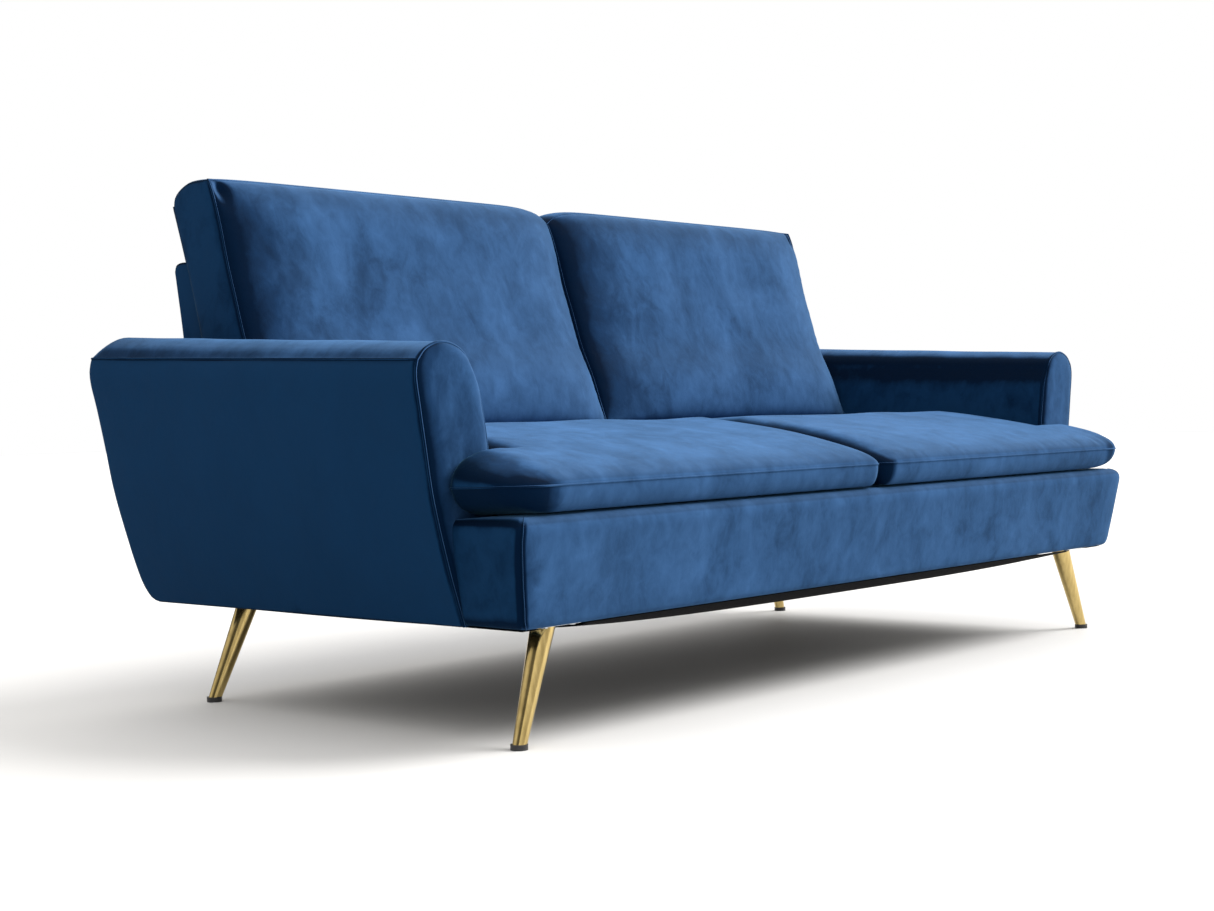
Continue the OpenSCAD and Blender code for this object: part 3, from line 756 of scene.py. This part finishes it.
def make_back_cushion(name, side):
    grid, quads = box_surface((96, 72, 18), 0.7)
    points = mirrored(back_shape(grid), side)
    a, b, c = grid.T
    face = c == 1
    from_side = 405 * (1 - np.abs(a))
    from_top = 205 * (1 - b)
    points[:, 1] += 3.0 * ripple(points, 150, side + 12) * (face * swell(a, 2) * swell(b, 2))

    # short puckers along the side seams, and a pinch at the outer top corner
    fine = ripple(points * np.array([0.3, 0.3, 1]), 9, side + 20)
    points[:, 1] += 1.6 * fine * face * np.exp(-from_side / 16) * ease(from_side / 4) * swell(b, 6)
    pinch = np.exp(-((from_side - 13) / 9) ** 2 - ((from_top - 20) / 17) ** 2) * face * (a > 0)
    points[:, 1] += 11 * pinch
    piece = make_mesh(f"back_cushion_{name}", points, quads, "velvet", f"back_{name}")
    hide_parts(f"back_cushion_cover_{name}")
    steps = np.linspace(-1, 1, 60)
    for place, c in (("front", 1), ("rear", -1)):
        sides = ((-1, steps), (steps, 1), (1, steps[::-1]), (steps[::-1], -1))
        loop = np.vstack([on_surface(back_shape, a, b, c)[:-1] for a, b in sides])
        welt(f"back_{place}_welt_{name}", mirrored(loop, side), f"back_{name}", 1.8, closed=True)

    grid, quads = box_surface((32, 24, 8), 0.5)
    points = mirrored(back_shape(grid), side)
    middle = (points.min(0) + points.max(0)) / 2
    core = make_mesh(f"back_foam_{name}", middle + (points - middle) * 0.92, quads, "foam", f"back_{name}")
    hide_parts(f"back_cushion_core_{name}")


# ---------- back frame ----------

def back_face(z):
    return 352 + 0.28 * (z - 602)


def make_back_frame():
    rear = curve_through([(396, 170), (399, 400), (403, 500), (414, 604), (430, 700), (433, 717)])
    front = curve_through([(388, 170), (388, 292), (300, 330), (352, 602), (383, 714)])
    top = curve_through([(433, 717), (429, 727), (418, 731), (400, 731), (388, 726), (383, 714)])
    below = curve_through([(396, 170), (392, 170), (388, 170)])
    grid, quads = box_surface((60, 60, 14), 0.5)
    a, b, c = grid.T
    flat = patch(below, top, rear, front, (c + 1) / 2, (b + 1) / 2)
    y, z = flat[:, 0], flat[:, 1]
    y = y + 4 * swell(a) * swell(b) * (c == -1)
    half_w = 795 + 9 * ease((600 - z) / 60)     # wider between the arms, where it closes the gap
    piece = make_mesh("back_upholstery", np.stack([half_w * a, y, z], 1), quads, "velvet", "frame")
    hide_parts("back_cover")

    grid, quads = box_surface((60, 40, 6), 0.5)
    a, b, c = grid.T
    z = 296 + (b + 1) / 2 * (716 - 296)
    y = back_face(z) + 16 - 16 * (c + 1) / 2 * swell(a, 10) * swell(b, 10)
    piece = make_mesh("back_inside_pad", np.stack([788 * a, y, z], 1), quads, "velvet", "frame")
    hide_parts("back_pad")


def make_deck():
    grid, quads = box_surface((60, 40, 6), 0.5)
    a, b, c = grid.T
    y = -312 + (b + 1) / 2 * (257 + 312)
    low = 302.4 - DECK_SLOPE * (y + 325)
    z = low + (16 + 4.5 * swell(a, 10) * swell(b, 10)) * (c + 1) / 2
    piece = make_mesh("seat_deck", np.stack([796 * a, y, z], 1), quads, "deck_cloth", "frame")
    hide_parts("seat_deck_pad")


# ---------- dust cloth ----------

def make_dust_cover():
    """Black cloth stapled round its edges, hanging a little between them, open at each leg plate."""
    nx, ny = 120, 50
    thick, edge_z, deepest = 1.0, 169.4, 25
    half_x, half_y, middle_y = 862, 404, -14
    open_half = 41
    a, b = np.meshgrid(graded(nx, 0.4), graded(ny, 0.5), indexing="ij")
    x, y = half_x * a, middle_y + half_y * b
    sag = deepest * (1 - np.abs(a) ** (2.5 + 5 * (1 - b**2))) * np.where(b < 0, swell(b, 9), 1 - b**8)
    layers = [np.stack([x, y, edge_z - sag - k * thick], -1).reshape(-1, 3) for k in (0, 1)]

    # the cells that stand, without those around the leg plates
    keep = np.ones((nx, ny), bool)
    mid_x = (x[:-1, :-1] + x[1:, 1:]) / 2
    mid_y = (y[:-1, :-1] + y[1:, 1:]) / 2
    for leg_x, leg_y in ((841, -375), (803, 331)):
        for side in (-1, 1):
            away_x = np.abs(mid_x - side * (leg_x - 0.4 * LEG_H))
            keep &= ~((away_x < open_half) & (np.abs(mid_y - leg_y) < open_half))

    # an upper and a lower layer, joined by walls round every border
    row = ny + 1
    total = (nx + 1) * row
    quads = []
    for i, j in zip(*np.nonzero(keep)):
        first = i * row + j
        ring = [first, first + row, first + row + 1, first + 1]
        quads.append(ring)
        quads.append([total + k for k in ring[::-1]])
        sides = (((i, j - 1), 0, 1), ((i + 1, j), 1, 2), ((i, j + 1), 2, 3), ((i - 1, j), 3, 0))
        for (p, q), s, e in sides:
            if not (0 <= p < nx and 0 <= q < ny and keep[p, q]):
                quads.append([ring[e], ring[s], total + ring[s], total + ring[e]])
    points = np.vstack(layers)
    used = sorted({k for q in quads for k in q})
    renumber = {k: n for n, k in enumerate(used)}
    quads = [[renumber[k] for k in q] for q in quads]
    piece = make_mesh("dust_cloth", points[used], quads, "dust_cloth", "frame")
    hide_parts("dust_cover")


# ---------- the sofa ----------

def dress_frame():
    """Gives each CAD node the material of its slot."""
    for part in frame["record"]["subparts"]:
        node = frame["nodes"][part["node"]]
        node.data.materials.clear()
        node.data.materials.append(MATERIALS[part["material_slot"]])


bpy.context.scene.view_settings.view_transform = "Standard"
make_camera()
make_floor()
make_key_light()
make_backdrop()
dress_frame()
make_base()
make_back_frame()
make_deck()
make_dust_cover()
for side_name, sign in SIDES.items():
    make_arm(side_name, sign)
    make_seat(side_name, sign)
    make_back_cushion(side_name, sign)
